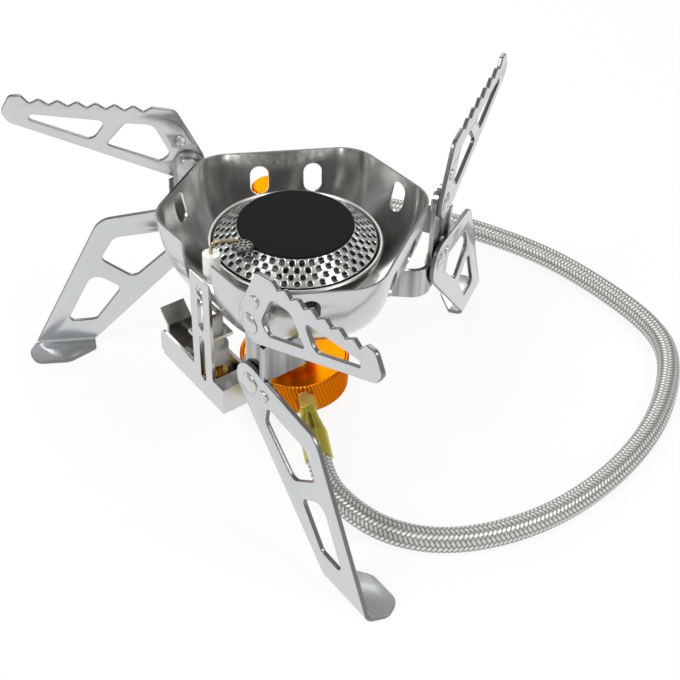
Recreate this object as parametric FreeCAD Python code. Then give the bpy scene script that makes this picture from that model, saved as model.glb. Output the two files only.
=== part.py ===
import FreeCAD, Part
import math
import os

# Folding camping stove on a remote gas hose, in millimetres.
# Origin on the burner axis at floor level, Z up. Pot arm 1 points along -X.
# Each arm and leg pair is drawn in its own frame: u outward along the plate,
# p the distance of the plate from the burner axis, z the height. The frame is
# then turned about the burner axis to the bearing of the pair.

PAIR_BEARINGS = (180.0, 60.0, -60.0)

# Layers of one pair, as distances p from the burner axis
PLATE_NEAR = 37.2
PLATE_THICK = 1.8
POST_NEAR = 35.5
POST_THICK = 1.5

# Hinge rivets of one pair
ARM_RIVET = (32.0, 74.2)
LEG_RIVET = (31.4, 51.2)
RIVET_R = 2.0
RIVET_FIT = 0.05
HEAD_R = 4.2
HEAD_HEIGHT = 1.5

# Bracket post with its stop tab and the band to the bowl
POST_U = 32.0
POST_HALF_WIDTH = 5.3
POST_LOW = 41.5
POST_HIGH = 79.5
STOP_LOW = 57.2
STOP_HIGH = 69.2
STOP_THICK = 1.5
FLANGE_NEAR = 24.0
FLANGE_LOW = 56.6
FLANGE_HIGH = 67.6
BAND_HIGH = 52.3
BAND_BEND_R = 5.0
BAND_BEND_ANGLE = 70.0
BAND_REACH = 16.0

# Pot arm outline, (u, z), and its serrated top edge
ARM_ROOT = (19.15, 61.5)
ARM_ROOT_R = 6.5
ARM_KNEE = (35.1, 94.2)
ARM_TIP = ((87.8, 92.4), (89.8, 96.2), (86.6, 101.6))
TOOTH_COUNT = 7
TOOTH_PITCH = 5.87
TOOTH_DEPTH = 1.9
TOOTH_FIRST_U = 43.9
TOOTH_FIRST_Z = 94.8
TOOTH_SLOPE = 0.125
ARM_INNER_WINDOW = ((50.4, 90.2), (43.4, 89.3), (37.9, 79.0), (41.2, 75.7), (57.5, 82.9))
ARM_OUTER_WINDOW = ((58.4, 91.4), (80.2, 94.4), (81.4, 92.9), (62.9, 85.0))
ARM_DIMPLE = (34.3, 83.3)

# Leg outline, (u, z), and its foot flap
LEG_ROOT = (11.3, 60.7)
LEG_ROOT_R = 7.3
LEG_KNEE = (63.5, 53.3)
LEG_KNEE_R = 8.0
LEG_FOOT_OUTER = 90.6
LEG_FOOT_INNER = 69.4
LEG_UPPER_WINDOW = ((39.6, 47.8), (59.6, 45.4), (63.7, 36.6), (53.0, 28.2), (38.8, 41.2))
LEG_LOWER_WINDOW = ((66.9, 30.7), (57.6, 24.5), (68.2, 10.7), (77.7, 10.9))
LEG_DIMPLE = (38.0, 50.4)
FLAP_DEPTH = 10.0
FOOT_BEND_R = 2.4
DIMPLE_R = 2.6
DIMPLE_DEPTH = 0.5

# Bowl: rounded hexagons as (z, long apothem, short apothem, corner radius)
BOWL_TURN = 2.0
BOWL_WALL = 0.7
BOWL_SECTIONS = (
    (46.0, 19.0, 19.0, 15.0),
    (48.0, 23.5, 24.2, 17.0),
    (53.0, 29.4, 31.2, 17.0),
    (61.0, 33.9, 36.8, 15.5),
    (70.0, 36.1, 40.0, 14.0),
    (78.5, 36.7, 40.8, 13.0),
)
SLOT_WIDTH = 6.2
SLOT_HEIGHT = 10.2
LONG_SIDES = (90, -30)
LONG_SIDE_SLOTS = (7.5, -10.5)
LONG_SIDE_SLOT_Z = 68.4
SHORT_SIDE_SLOTS = ((30, -3.4), (150, 1.1), (-90, -1.2))
SHORT_SIDE_SLOT_Z = 70.8
NOTCH_FROM = -7.0
NOTCH_TO = 8.0
NOTCH_LOW = 60.0

# Burner head
LIP_R = 27.75
LIP_Z = 68.4
LIP_BEAD_R = 0.7
LIP_BEAD_SIDES = 8
CAP_R = 18.4
CAP_LOW = 74.2
CAP_TOP = 74.9
CAP_EDGE = 0.3
SCREEN_R = 25.75
SCREEN_EDGE = 69.0
SCREEN_THICK = 0.6
HOLE_R = 0.85
HOLE_SIDES = 10
HOLE_ROWS = (19.4, 21.3, 23.1, 24.8)
HOLES_PER_ROW = 40

# Column below the bowl
TUBE_R = 7.0
TUBE_BORE_R = 5.6
TUBE_LOW = 27.0
TUBE_HIGH = 54.5
AIR_HOLE_R = 2.5
JET_R = 5.0
COLLAR_R = 18.5
COLLAR_LOW = 9.8
COLLAR_HIGH = 22.4

# Hose inlet, hose and canister valve
INLET_START = (1.3, -14.6, 18.8)
INLET_END = (4.2, -39.3, 9.5)
NUT_ACROSS = 5.8
NUT_LENGTH = 8.4
HOSE_R = 4.0
FERRULE_R = 4.6
HOSE_POINTS = (
    INLET_END,
    (5.07, -46.74, 6.7),
    (11.4, -56.4, 4.7),
    (21.6, -66.6, 4.1),
    (37.0, -72.6, 4.1),
    (57.0, -71.6, 4.1),
    (79.7, -63.7, 4.1),
    (104.2, -47.0, 4.1),
    (124.0, -25.0, 4.1),
    (137.2, 1.9, 4.1),
    (137.7, 21.3, 4.1),
    (125.8, 45.9, 4.1),
    (108.3, 68.8, 4.9),
    (84.4, 82.3, 8.6),
    (56.0, 91.8, 13.6),
    (36.8, 94.87, 16.6),
    (16.91, 92.78, 16.6),
)
VALVE_X = 0.0
VALVE_Y = 91.0
OUTLET_BEARING = 6.0
OUTLET_Z = 16.6
BOSS_LENGTH = 10.0
VALVE_LOW = 0.4
SOCKET_R = 5.5
SOCKET_DEPTH = 7.0
SEAL_R = 4.2
SEAL_TOP = 9.4
VALVE_COLLAR_TOP = 11.6
KNOB_R = 8.0
KNOB_LOW = 23.8
KNOB_HIGH = 29.5
SPINDLE_R = 2.4
SPINDLE_LOW = 18.6

# Igniter, drawn in the frame of pair 3
IGNITER_NEAR = 23.6
IGNITER_FAR = 36.6
IGNITER_SHEET = 1.2
BOX_FROM = -24.0
BOX_TO = 12.5
BOX_LOW = 22.6
BOX_HIGH = 32.4
PLATE_FROM = -4.2
PLATE_TO = 6.4
PLATE_TOP = 69.9
PIEZO_U = -2.2
PIEZO_P = 30.2
PIEZO_R = 3.2
PIEZO_TOP = 49.5
PLUNGER_R = 2.5
CLIP_LOW = 43.6
TAB_LOW = 57.4
LEVER_PIVOT_U = -13.0
LEVER_PIVOT_Z = 28.0
LEVER_PIN_R = 1.25
CERAMIC_U = 1.2
CERAMIC_P = 31.8
CERAMIC_R = 2.7
CERAMIC_STEM_R = 1.6
CERAMIC_TOP = 77.0
TARGET_U = 2.2
TARGET_P = 21.1
TARGET_LOW = 75.6


def vec(x, y, z):
    return FreeCAD.Vector(x, y, z)


def turned(shape, bearing):
    copy = shape.copy()
    copy.rotate(vec(0, 0, 0), vec(0, 0, 1), bearing)
    return copy


def rounded_wire(points, radii, place):
    """Closed wire through flat points with each corner rounded; place maps a flat point to space."""
    edges = []
    joints = []
    count = len(points)
    for i in range(count):
        corner = FreeCAD.Vector(points[i][0], points[i][1], 0)
        back = FreeCAD.Vector(points[i - 1][0], points[i - 1][1], 0) - corner
        ahead = FreeCAD.Vector(points[(i + 1) % count][0], points[(i + 1) % count][1], 0) - corner
        back.normalize()
        ahead.normalize()
        half = back.getAngle(ahead) / 2.0
        if radii[i] <= 0:
            joints.append((corner, None, corner))
            continue
        reach = radii[i] / math.tan(half)
        middle = back + ahead
        middle.normalize()
        top = corner + middle * (radii[i] / math.sin(half) - radii[i])
        joints.append((corner + back * reach, top, corner + ahead * reach))
    for i in range(count):
        start, top, end = [None if q is None else place(q.x, q.y) for q in joints[i]]
        if top is not None:
            edges.append(Part.Arc(start, top, end).toShape())
        following = joints[(i + 1) % count][0]
        edges.append(Part.makeLine(end, place(following.x, following.y)))
    return Part.Wire(edges)


def upright_plate(points, radii, near, thick):
    """Plate standing along u, between p = near and p = near + thick."""
    wire = rounded_wire(points, radii, lambda u, z: vec(u, -near, z))
    return Part.Face(wire).extrude(vec(0, -thick, 0))


def block(u_from, u_to, p_from, p_to, z_from, z_to):
    return Part.makeBox(u_to - u_from, p_to - p_from, z_to - z_from, vec(u_from, -p_to, z_from))


def pin_along_p(u, z, radius, p_from, p_to):
    return Part.makeCylinder(radius, p_to - p_from, vec(u, -p_from, z), vec(0, -1, 0))


def post_upright(u, p, radius, z_from, z_to):
    return Part.makeCylinder(radius, z_to - z_from, vec(u, -p, z_from))


def spun(profile):
    """Solid of revolution about Z from (r, z) points."""
    corners = [vec(r, 0, z) for r, z in profile]
    wire = Part.makePolygon(corners + corners[:1])
    return Part.Face(wire).revolve(vec(0, 0, 0), vec(0, 0, 1), 360)


def drill(place, radius, length):
    """Upright cutter with few flat sides, for the many small holes."""
    ring = []
    for i in range(HOLE_SIDES + 1):
        turn = 2 * math.pi * i / HOLE_SIDES
        ring.append(place + vec(radius * math.cos(turn), radius * math.sin(turn), 0))
    return Part.Face(Part.makePolygon(ring)).extrude(vec(0, 0, length))


def dimpled(plate, place):
    """Shallow round dimple in the outer face of a plate."""
    outer = PLATE_NEAR + PLATE_THICK
    ball = Part.makeSphere(DIMPLE_R, vec(place[0], -(outer + DIMPLE_R - DIMPLE_DEPTH), place[1]))
    return plate.cut(ball)


# Arms and legs

def serrated_edge():
    """Points of the toothed top edge from the tip to the root."""
    points = []
    for tooth in reversed(range(TOOTH_COUNT)):
        middle_u = TOOTH_FIRST_U + tooth * TOOTH_PITCH
        for shift, rise in ((0.25, -0.5), (-0.25, 0.5)):
            u = middle_u + shift * TOOTH_PITCH
            z = TOOTH_FIRST_Z + TOOTH_SLOPE * (u - TOOTH_FIRST_U) + rise * TOOTH_DEPTH
            points.append((u, z))
    return points


def pot_arm():
    teeth = serrated_edge()
    tip_shoulder = (teeth[0][0] + 1.9, teeth[0][1] + TOOTH_DEPTH)
    outline = [ARM_ROOT, *ARM_TIP, tip_shoulder, *teeth, ARM_KNEE]
    radii = [ARM_ROOT_R, 2.0, 1.6, 1.6, 0.7] + [0.9] * len(teeth) + [4.0]
    plate = upright_plate(outline, radii, PLATE_NEAR, PLATE_THICK)
    inner = upright_plate(ARM_INNER_WINDOW, [1.4] * 5, PLATE_NEAR - 1, PLATE_THICK + 2)
    outer = upright_plate(ARM_OUTER_WINDOW, [1.4, 0.7, 0.7, 1.4], PLATE_NEAR - 1, PLATE_THICK + 2)
    hole = pin_along_p(*ARM_RIVET, RIVET_R + RIVET_FIT, PLATE_NEAR - 1, PLATE_NEAR + 4)
    return dimpled(plate.cut([inner, outer, hole]), ARM_DIMPLE)


def foot_flap():
    """Flap of the foot, slanted at its inner end and rounded at its outer end."""
    far = PLATE_NEAR + PLATE_THICK
    outline = [
        (LEG_FOOT_INNER, far),
        (LEG_FOOT_INNER - 0.6, PLATE_NEAR - 3.4),
        (LEG_FOOT_INNER + 8.6, PLATE_NEAR - FLAP_DEPTH),
        (LEG_FOOT_OUTER - 0.8, PLATE_NEAR - FLAP_DEPTH),
        (LEG_FOOT_OUTER + 2.0, PLATE_NEAR - 4.5),
        (LEG_FOOT_OUTER, far),
    ]
    wire = rounded_wire(outline, [0, 1.2, 6.0, 4.0, 4.0, 0], lambda u, p: vec(u, -p, 0))
    return Part.Face(wire).extrude(vec(0, 0, PLATE_THICK))


def bend_cutter():
    """What the rounded bend of the foot leaves out of the square outside corner."""
    outside = PLATE_NEAR + PLATE_THICK
    centre = outside - FOOT_BEND_R
    corner = block(LEG_FOOT_INNER - 3, LEG_FOOT_OUTER + 3, centre, outside + 1, -1, FOOT_BEND_R)
    start = vec(LEG_FOOT_INNER - 4, -centre, FOOT_BEND_R)
    roller = Part.makeCylinder(FOOT_BEND_R, LEG_FOOT_OUTER - LEG_FOOT_INNER + 8, start, vec(1, 0, 0))
    return corner.cut(roller)


def folding_leg():
    outline = [LEG_ROOT, (LEG_FOOT_INNER, 0.0), (LEG_FOOT_OUTER, 0.0), LEG_KNEE]
    plate = upright_plate(outline, [LEG_ROOT_R, 0, 0, LEG_KNEE_R], PLATE_NEAR, PLATE_THICK)
    upper = upright_plate(LEG_UPPER_WINDOW, [2.5, 3.0, 1.6, 1.6, 2.5], PLATE_NEAR - 1, PLATE_THICK + 2)
    lower = upright_plate(LEG_LOWER_WINDOW, [1.6] * 4, PLATE_NEAR - 1, PLATE_THICK + 2)
    hole = pin_along_p(*LEG_RIVET, RIVET_R + RIVET_FIT, PLATE_NEAR - 1, PLATE_NEAR + 4)
    plate = dimpled(plate.cut([upper, lower, hole]), LEG_DIMPLE)
    return plate.fuse(foot_flap()).removeSplitter().cut(bend_cutter())


def rivet(u, z):
    """Rivet set in the post, with a domed outer head and a flat inner head."""
    seat = PLATE_NEAR + PLATE_THICK + 0.2
    shaft = pin_along_p(u, z, RIVET_R, POST_NEAR, seat)
    inner_head = pin_along_p(u, z, HEAD_R - 0.6, POST_NEAR - 1.0, POST_NEAR)
    dome_r = (HEAD_R ** 2 + HEAD_HEIGHT ** 2) / (2 * HEAD_HEIGHT)
    ball = Part.makeSphere(dome_r, vec(u, -(seat + HEAD_HEIGHT - dome_r), z))
    dome = ball.common(pin_along_p(u, z, HEAD_R, seat, seat + HEAD_HEIGHT))
    return shaft.fuse([inner_head, dome]).removeSplitter()


def band():
    """Band that leaves the inner edge of the post, bends and runs to the bowl."""
    near = -POST_NEAR
    far = -(POST_NEAR + POST_THICK)
    start = POST_U - POST_HALF_WIDTH
    centre = vec(start, near + BAND_BEND_R, 0)
    angle = math.radians(BAND_BEND_ANGLE)
    inner_r = BAND_BEND_R
    outer_r = BAND_BEND_R + POST_THICK

    def on_arc(radius, turn):
        return centre + vec(-radius * math.sin(turn), -radius * math.cos(turn), 0)

    run = vec(-math.cos(angle), math.sin(angle), 0) * BAND_REACH
    inner_end = on_arc(inner_r, angle)
    outer_end = on_arc(outer_r, angle)
    edges = [
        Part.Arc(vec(start, near, 0), on_arc(inner_r, angle / 2), inner_end).toShape(),
        Part.makeLine(inner_end, inner_end + run),
        Part.makeLine(inner_end + run, outer_end + run),
        Part.makeLine(outer_end + run, outer_end),
        Part.Arc(outer_end, on_arc(outer_r, angle / 2), vec(start, far, 0)).toShape(),
        Part.makeLine(vec(start, far, 0), vec(start, near, 0)),
    ]
    flat = Part.Face(Part.Wire(edges)).extrude(vec(0, 0, BAND_HIGH - POST_LOW))
    flat.translate(vec(0, 0, POST_LOW))
    return flat


def leg_bracket(bearing, bowl_body):
    """Post plate with both rivet seats, the stop tab and the band cut to the wall of the bowl."""
    edge = POST_U + POST_HALF_WIDTH
    back = POST_U - POST_HALF_WIDTH
    outline = [(back, POST_LOW), (POST_U, POST_LOW), (edge, POST_LOW + 7), (edge, POST_HIGH), (back, POST_HIGH)]
    top_r = POST_HALF_WIDTH - 0.01
    post = upright_plate(outline, [0, 3.0, 3.0, top_r, top_r], POST_NEAR, POST_THICK)
    stop_far = PLATE_NEAR + PLATE_THICK
    stop = block(edge - 0.5, edge + STOP_THICK, POST_NEAR + POST_THICK, stop_far, STOP_LOW, STOP_HIGH)
    web = block(edge - 0.5, edge + STOP_THICK, POST_NEAR, POST_NEAR + POST_THICK, FLANGE_LOW, STOP_HIGH)
    flange = block(edge, edge + STOP_THICK, FLANGE_NEAR, POST_NEAR, FLANGE_LOW, FLANGE_HIGH)
    plate = post.fuse([stop, web, flange, band()]).removeSplitter()
    for place in (ARM_RIVET, LEG_RIVET):
        plate = plate.cut(pin_along_p(*place, RIVET_R, POST_NEAR - 1, POST_NEAR + 3))
    return turned(plate, bearing).cut(bowl_body)


# Bowl

def bowl_section(z, long_side, short_side, corner_r):
    """Rounded hexagon with alternating apothems, at height z."""
    corners = []
    for i in range(6):
        first = long_side if i % 2 == 0 else short_side
        second = short_side if i % 2 == 0 else long_side
        along = (second - first * 0.5) / math.sin(math.radians(60))
        bearing = math.radians(90 + BOWL_TURN + 60 * i)
        x = first * math.cos(bearing) - along * math.sin(bearing)
        y = first * math.sin(bearing) + along * math.cos(bearing)
        corners.append((x, y))
    return rounded_wire(corners, [corner_r] * 6, lambda x, y: vec(x, y, z))


def bowl_body(inset):
    """Solid block of the bowl, drawn in by the wall where an inset is given."""
    wires = []
    for i, (z, long_side, short_side, corner_r) in enumerate(BOWL_SECTIONS):
        lean = 1.35 if 0 < i < 3 else 1.05
        level = z + inset if i == 0 else z
        if i == len(BOWL_SECTIONS) - 1 and inset:
            level = z + 0.01
        step = inset * lean
        wires.append(bowl_section(level, long_side - step, short_side - step, max(corner_r - step, 3.0)))
    return Part.makeLoft(wires, True, False)


def slot_cutter(bearing, offset, height):
    """Upright obround cutter through the wall that faces the bearing."""
    half = SLOT_WIDTH / 2
    low = height - SLOT_HEIGHT / 2
    high = height + SLOT_HEIGHT / 2
    outline = [(offset - half, low), (offset + half, low), (offset + half, high), (offset - half, high)]
    cutter = upright_plate(outline, [half - 0.01] * 4, 28.0, 20.0)
    return turned(cutter, bearing + 90 + BOWL_TURN)


def windshield_bowl():
    shell = bowl_body(0.0).cut(bowl_body(BOWL_WALL))
    cutters = [Part.makeCylinder(TUBE_R, 10, vec(0, 0, 42))]
    for side in LONG_SIDES:
        for offset in LONG_SIDE_SLOTS:
            cutters.append(slot_cutter(side, offset, LONG_SIDE_SLOT_Z))
    for side, offset in SHORT_SIDE_SLOTS:
        cutters.append(slot_cutter(side, offset, SHORT_SIDE_SLOT_Z))
    notch = block(NOTCH_FROM, NOTCH_TO, 28.0, 44.0, NOTCH_LOW, 90.0)
    cutters.append(turned(notch, PAIR_BEARINGS[2]))
    return shell.cut(cutters)


# Burner head

def lip_bead():
    """Rolled lip as a many-sided ring."""
    centre_r = LIP_R - LIP_BEAD_R
    points = []
    for i in range(LIP_BEAD_SIDES):
        turn = 2 * math.pi * (i + 0.5) / LIP_BEAD_SIDES
        points.append((centre_r + LIP_BEAD_R * math.cos(turn), LIP_Z + LIP_BEAD_R * math.sin(turn)))
    return spun(points)


def burner_pan():
    outer_r = LIP_R - LIP_BEAD_R
    inner_r = outer_r - 0.6
    wall = spun([
        (TUBE_BORE_R, TUBE_HIGH),
        (10.0, TUBE_HIGH),
        (19.0, 57.0),
        (24.5, 61.5),
        (outer_r, 65.6),
        (outer_r, LIP_Z),
        (inner_r, LIP_Z),
        (inner_r, 65.9),
        (24.0, 62.3),
        (18.6, 57.9),
        (9.8, 55.4),
        (TUBE_BORE_R, 55.4),
    ])
    return wall.fuse(lip_bead()).removeSplitter()


def flame_screen():
    """Perforated cone round the cap, with a skirt that stands on the slope of the pan."""
    inner_r = SCREEN_R - SCREEN_THICK
    skirt_low = 65.4
    cone = spun([
        (SCREEN_R, skirt_low),
        (SCREEN_R, SCREEN_EDGE),
        (CAP_R, CAP_LOW),
        (CAP_R - 2.0, CAP_LOW),
        (CAP_R - 2.0, CAP_LOW - SCREEN_THICK),
        (CAP_R - 0.4, CAP_LOW - SCREEN_THICK),
        (inner_r, SCREEN_EDGE - 0.4),
        (inner_r, skirt_low),
    ])
    holes = []
    for row, radius in enumerate(HOLE_ROWS):
        for i in range(HOLES_PER_ROW):
            bearing = math.radians(360.0 * (i + 0.5 * (row % 2)) / HOLES_PER_ROW)
            place = vec(radius * math.cos(bearing), radius * math.sin(bearing), SCREEN_EDGE - 2)
            holes.append(drill(place, HOLE_R, 7))
    return cone.cut(Part.makeCompound(holes))


def burner_cap():
    return spun([
        (0.0, CAP_LOW),
        (CAP_R, CAP_LOW),
        (CAP_R, CAP_TOP - CAP_EDGE),
        (CAP_R - CAP_EDGE, CAP_TOP),
        (0.0, CAP_TOP),
    ])


# Column and inlet

def mixer_tube():
    tube = Part.makeCylinder(TUBE_R, TUBE_HIGH - TUBE_LOW, vec(0, 0, TUBE_LOW))
    bore = Part.makeCylinder(TUBE_BORE_R, TUBE_HIGH - TUBE_LOW, vec(0, 0, TUBE_LOW))
    cutters = [bore]
    for direction in (vec(1, 0.3, 0), vec(-0.3, 1, 0)):
        start = vec(0, 0, TUBE_LOW + 8) - direction * 15
        cutters.append(Part.makeCylinder(AIR_HOLE_R, 40, start, direction))
    return tube.cut(cutters)


def jet_holder():
    return spun([
        (0.0, COLLAR_LOW + 1.0),
        (JET_R, COLLAR_LOW + 1.0),
        (JET_R, TUBE_LOW - 2.0),
        (TUBE_R, TUBE_LOW - 2.0),
        (TUBE_R, TUBE_LOW),
        (3.5, TUBE_LOW),
        (2.0, TUBE_LOW + 5.0),
        (0.0, TUBE_LOW + 5.0),
    ])


def air_collar():
    """Turned ring with a shallow dished top."""
    return spun([
        (JET_R, COLLAR_LOW),
        (COLLAR_R - 1.0, COLLAR_LOW),
        (COLLAR_R, COLLAR_LOW + 1.0),
        (COLLAR_R, COLLAR_HIGH - 0.5),
        (COLLAR_R - 0.5, COLLAR_HIGH),
        (COLLAR_R - 0.9, COLLAR_HIGH),
        (COLLAR_R - 1.4, COLLAR_HIGH - 0.7),
        (JET_R, COLLAR_HIGH - 2.0),
    ])


def inlet_axis():
    start = FreeCAD.Vector(*INLET_START)
    direction = FreeCAD.Vector(*INLET_END) - start
    length = direction.Length
    direction.normalize()
    return start, direction, length


def along_inlet(profile):
    """Solid of revolution about the inlet axis from (distance, radius) points."""
    start, direction, length = inlet_axis()
    flat = [(radius, distance) for distance, radius in profile]
    solid = spun(flat)
    solid.Placement = FreeCAD.Placement(start, FreeCAD.Rotation(vec(0, 0, 1), direction))
    return solid


def inlet_nut():
    start, direction, length = inlet_axis()
    circle_r = NUT_ACROSS / math.sqrt(3)
    ring = []
    for i in range(7):
        bearing = math.radians(60 * i + 30)
        ring.append(vec(circle_r * math.cos(bearing), circle_r * math.sin(bearing), 0))
    prism = Part.Face(Part.makePolygon(ring)).extrude(vec(0, 0, NUT_LENGTH))
    prism.Placement = FreeCAD.Placement(start, FreeCAD.Rotation(vec(0, 0, 1), direction))
    return prism.cut(Part.makeCylinder(COLLAR_R, 20, vec(0, 0, COLLAR_LOW - 2)))


def hose_ferrule():
    start, direction, length = inlet_axis()
    return along_inlet([
        (NUT_LENGTH, 0.0),
        (NUT_LENGTH, 2.9),
        (NUT_LENGTH + 2.5, 2.9),
        (NUT_LENGTH + 9.0, FERRULE_R),
        (length, FERRULE_R),
        (length, 0.0),
    ])


# Hose and canister valve

def hose_path():
    """Straight runs with tangent arcs at every turn of the hose."""
    points = [FreeCAD.Vector(*p) for p in HOSE_POINTS]
    edges = []
    last = points[0]
    for i in range(1, len(points) - 1):
        corner = points[i]
        back = points[i - 1] - corner
        ahead = points[i + 1] - corner
        reach = 0.45 * min(back.Length, ahead.Length)
        back.normalize()
        ahead.normalize()
        half = back.getAngle(ahead) / 2
        radius = reach * math.tan(half)
        middle = back + ahead
        middle.normalize()
        top = corner + middle * (radius / math.sin(half) - radius)
        edges.append(Part.LineSegment(last, corner + back * reach).toShape())
        edges.append(Part.Arc(corner + back * reach, top, corner + ahead * reach).toShape())
        print("hose bend radius", round(radius, 1))
        last = corner + ahead * reach
    edges.append(Part.LineSegment(last, points[-1]).toShape())
    return Part.Wire(edges)


def hose():
    path = hose_path()
    start = FreeCAD.Vector(*HOSE_POINTS[0])
    direction = FreeCAD.Vector(*HOSE_POINTS[1]) - start
    section = Part.Wire(Part.makeCircle(HOSE_R, start, direction))
    tube = path.makePipeShell([section], True, False)
    expected = math.pi * HOSE_R ** 2 * path.Length
    print("hose length", round(path.Length, 1), "volume ratio", round(tube.Volume / expected, 4))
    return tube


def outlet_point(distance):
    bearing = math.radians(OUTLET_BEARING)
    return vec(VALVE_X + distance * math.cos(bearing), VALVE_Y + distance * math.sin(bearing), OUTLET_Z)


def valve_ferrule():
    near = outlet_point(BOSS_LENGTH)
    run = outlet_point(17.0) - near
    return Part.makeCylinder(FERRULE_R, run.Length, near, run)


def at_valve(shape):
    shape.translate(vec(VALVE_X, VALVE_Y, 0))
    return shape


def canister_collar():
    """Collar with the canister thread below and the seal seat above it."""
    socket_top = VALVE_LOW + SOCKET_DEPTH
    ring = spun([
        (SOCKET_R, VALVE_LOW),
        (12.5, VALVE_LOW),
        (13.5, VALVE_LOW + 1.0),
        (13.5, VALVE_COLLAR_TOP - 1.5),
        (12.0, VALVE_COLLAR_TOP),
        (3.0, VALVE_COLLAR_TOP),
        (3.0, SEAL_TOP),
        (SEAL_R, SEAL_TOP),
        (SEAL_R, socket_top),
        (SOCKET_R, socket_top),
    ])
    return at_valve(ring)


def collar_seal():
    low = SEAL_TOP - 1.4
    return at_valve(spun([(2.2, low), (SEAL_R, low), (SEAL_R, SEAL_TOP), (2.2, SEAL_TOP)]))


def valve_body():
    """Valve block with its outlet boss, spindle bore and the pin that opens the canister."""
    pin_low = VALVE_LOW + SOCKET_DEPTH + 0.3
    gland_top = KNOB_LOW - 0.5
    block_and_pin = at_valve(spun([
        (0.0, pin_low),
        (1.0, pin_low),
        (1.0, SEAL_TOP + 0.5),
        (3.0, SEAL_TOP + 0.5),
        (3.0, VALVE_COLLAR_TOP),
        (7.5, VALVE_COLLAR_TOP),
        (7.5, 21.2),
        (6.9, 21.8),
        (4.4, 21.8),
        (4.4, gland_top),
        (0.0, gland_top),
    ]))
    near = outlet_point(4.0)
    boss = Part.makeCylinder(3.9, BOSS_LENGTH - 4.0, near, outlet_point(BOSS_LENGTH) - near)
    bore = at_valve(Part.makeCylinder(SPINDLE_R + RIVET_FIT, 12, vec(0, 0, SPINDLE_LOW - 0.6)))
    return block_and_pin.fuse(boss).removeSplitter().cut(bore)


def valve_knob():
    """Fluted knob on its spindle."""
    knob = spun([
        (0.0, SPINDLE_LOW),
        (SPINDLE_R, SPINDLE_LOW),
        (SPINDLE_R, KNOB_LOW),
        (KNOB_R - 0.6, KNOB_LOW),
        (KNOB_R, KNOB_LOW + 0.6),
        (KNOB_R, KNOB_HIGH - 0.8),
        (KNOB_R - 0.8, KNOB_HIGH),
        (0.0, KNOB_HIGH),
    ])
    flutes = []
    for i in range(8):
        bearing = math.radians(45 * i)
        place = vec((KNOB_R + 1.2) * math.cos(bearing), (KNOB_R + 1.2) * math.sin(bearing), KNOB_LOW - 1)
        flutes.append(Part.makeCylinder(2.0, 12, place))
    return at_valve(knob.cut(flutes))


# Igniter

def igniter_bracket(bowl):
    """Open channel with a tall slotted plate, a shelf for the electrode and a tab welded to the bowl."""
    sheet = IGNITER_SHEET
    front = block(BOX_FROM, BOX_TO, IGNITER_FAR - sheet, IGNITER_FAR, BOX_LOW, BOX_HIGH)
    ear = block(BOX_FROM - 1.2, BOX_FROM, IGNITER_FAR - sheet, IGNITER_FAR, BOX_LOW + 1.4, BOX_HIGH - 1.4)
    back = block(BOX_FROM, BOX_TO, IGNITER_NEAR, IGNITER_NEAR + sheet, BOX_LOW, BOX_HIGH)
    floor = block(-8.0, BOX_TO, IGNITER_NEAR, IGNITER_FAR, BOX_LOW, BOX_LOW + sheet)
    end = block(BOX_TO - sheet, BOX_TO, IGNITER_NEAR, IGNITER_FAR, BOX_LOW, BOX_HIGH)
    lip = block(PLATE_TO, BOX_TO, IGNITER_NEAR, IGNITER_FAR, BOX_HIGH - sheet, BOX_HIGH)
    tall = block(PLATE_FROM, PLATE_TO, IGNITER_FAR - sheet, IGNITER_FAR, BOX_LOW, PLATE_TOP)
    shelf = block(PLATE_FROM, PLATE_TO, 28.6, IGNITER_FAR, PLATE_TOP - sheet, PLATE_TOP)
    clip = block(PIEZO_U - 4.5, PIEZO_U + 4.5, PIEZO_P - 4.5, IGNITER_FAR, CLIP_LOW, CLIP_LOW + sheet)
    tab = block(PLATE_FROM, PLATE_TO, 28.0, IGNITER_FAR, TAB_LOW, TAB_LOW + sheet)
    bracket = front.fuse([ear, back, floor, end, lip, tall, shelf, clip, tab])
    cutters = [
        post_upright(PIEZO_U, PIEZO_P, PIEZO_R, CLIP_LOW - 2, CLIP_LOW + 4),
        post_upright(CERAMIC_U, CERAMIC_P, CERAMIC_STEM_R, PLATE_TOP - 4, PLATE_TOP + 2),
        pin_along_p(LEVER_PIVOT_U, LEVER_PIVOT_Z, LEVER_PIN_R, IGNITER_NEAR - 1, IGNITER_FAR + 1),
    ]
    for low, high in ((29.0, 46.6), (49.6, 66.5)):
        outline = [(-0.4, low), (2.7, low), (2.7, high), (-0.4, high)]
        cutters.append(upright_plate(outline, [1.5] * 4, IGNITER_FAR - 2, 3))
    bracket = bracket.cut(cutters).removeSplitter()
    return turned(bracket, PAIR_BEARINGS[2]).cut(bowl)


def piezo_body():
    lower = post_upright(PIEZO_U, PIEZO_P, 4.7, 33.0, 39.0)
    upper = post_upright(PIEZO_U, PIEZO_P, PIEZO_R, 39.0, PIEZO_TOP)
    bore = post_upright(PIEZO_U, PIEZO_P, PLUNGER_R + RIVET_FIT, 30.0, 38.0)
    return turned(lower.fuse(upper).removeSplitter().cut(bore), PAIR_BEARINGS[2])


def piezo_plunger():
    stub = post_upright(PIEZO_U, PIEZO_P, 1.0, 25.8, 26.4)
    flange = post_upright(PIEZO_U, PIEZO_P, 4.4, 26.4, 28.4)
    rod = post_upright(PIEZO_U, PIEZO_P, PLUNGER_R, 28.4, 35.0)
    return turned(stub.fuse([flange, rod]).removeSplitter(), PAIR_BEARINGS[2])


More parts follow.
